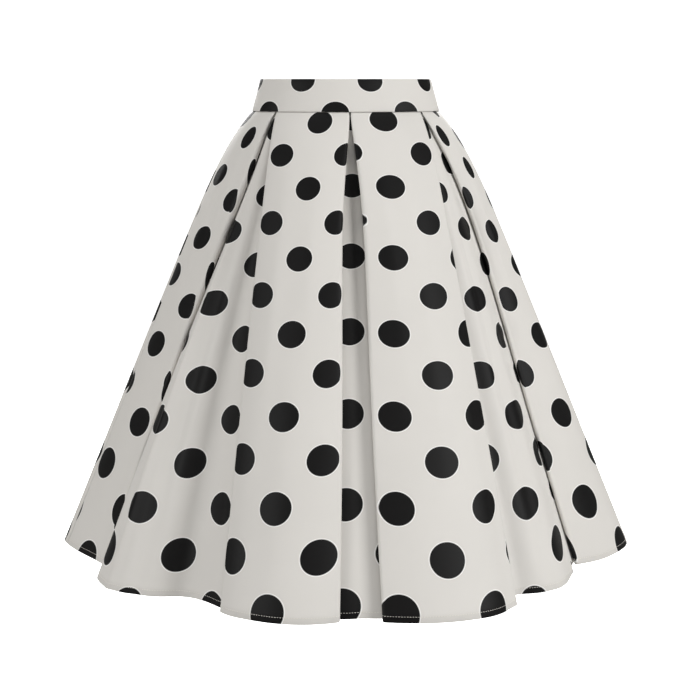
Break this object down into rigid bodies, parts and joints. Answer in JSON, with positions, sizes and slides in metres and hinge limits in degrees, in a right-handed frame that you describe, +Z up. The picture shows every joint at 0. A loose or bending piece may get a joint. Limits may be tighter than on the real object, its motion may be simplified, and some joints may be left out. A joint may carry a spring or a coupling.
{
  "type": "pleated A-line skirt",
  "caption": "Knee-length A-line skirt of dotted cloth, held open as when worn, with a contoured waistband, inverted pleats, a level hem and a concealed back zip.",
  "frame": {"origin": "middle of the waist opening, half way up the waistband", "axes": "+Z up out of the waist, -Y towards the front with the centre pleat, +X to the right of someone who looks at the front"},
  "size_m": [0.8088, 0.7602, 0.6558],
  "materials": {
    "printed_cloth": "firm matt cotton-blend cloth, ivory ground with black dots",
    "zip_tape": "woven polyester tape with a nylon coil",
    "zip_enamel": "enamelled zinc casting, ivory"
  },
  "bodies": {
    "skirt": {"front": "printed_cloth", "back_left": "printed_cloth", "back_right": "printed_cloth", "waistband_front": "printed_cloth", "waistband_back_left": "printed_cloth", "waistband_back_right": "printed_cloth", "zip_tape": "zip_tape", "zip_slider": "zip_enamel"},
    "pull_tab": {"zip_pull": "zip_enamel"}
  },
  "joints": [
    {"name": "pull_tab_turn", "type": "hinge", "parent": "skirt", "child": "pull_tab", "pos_m": [0, 0.08826, 0.01237], "axis": [1, 0, 0], "range_deg": [0, 140]}
  ]
}
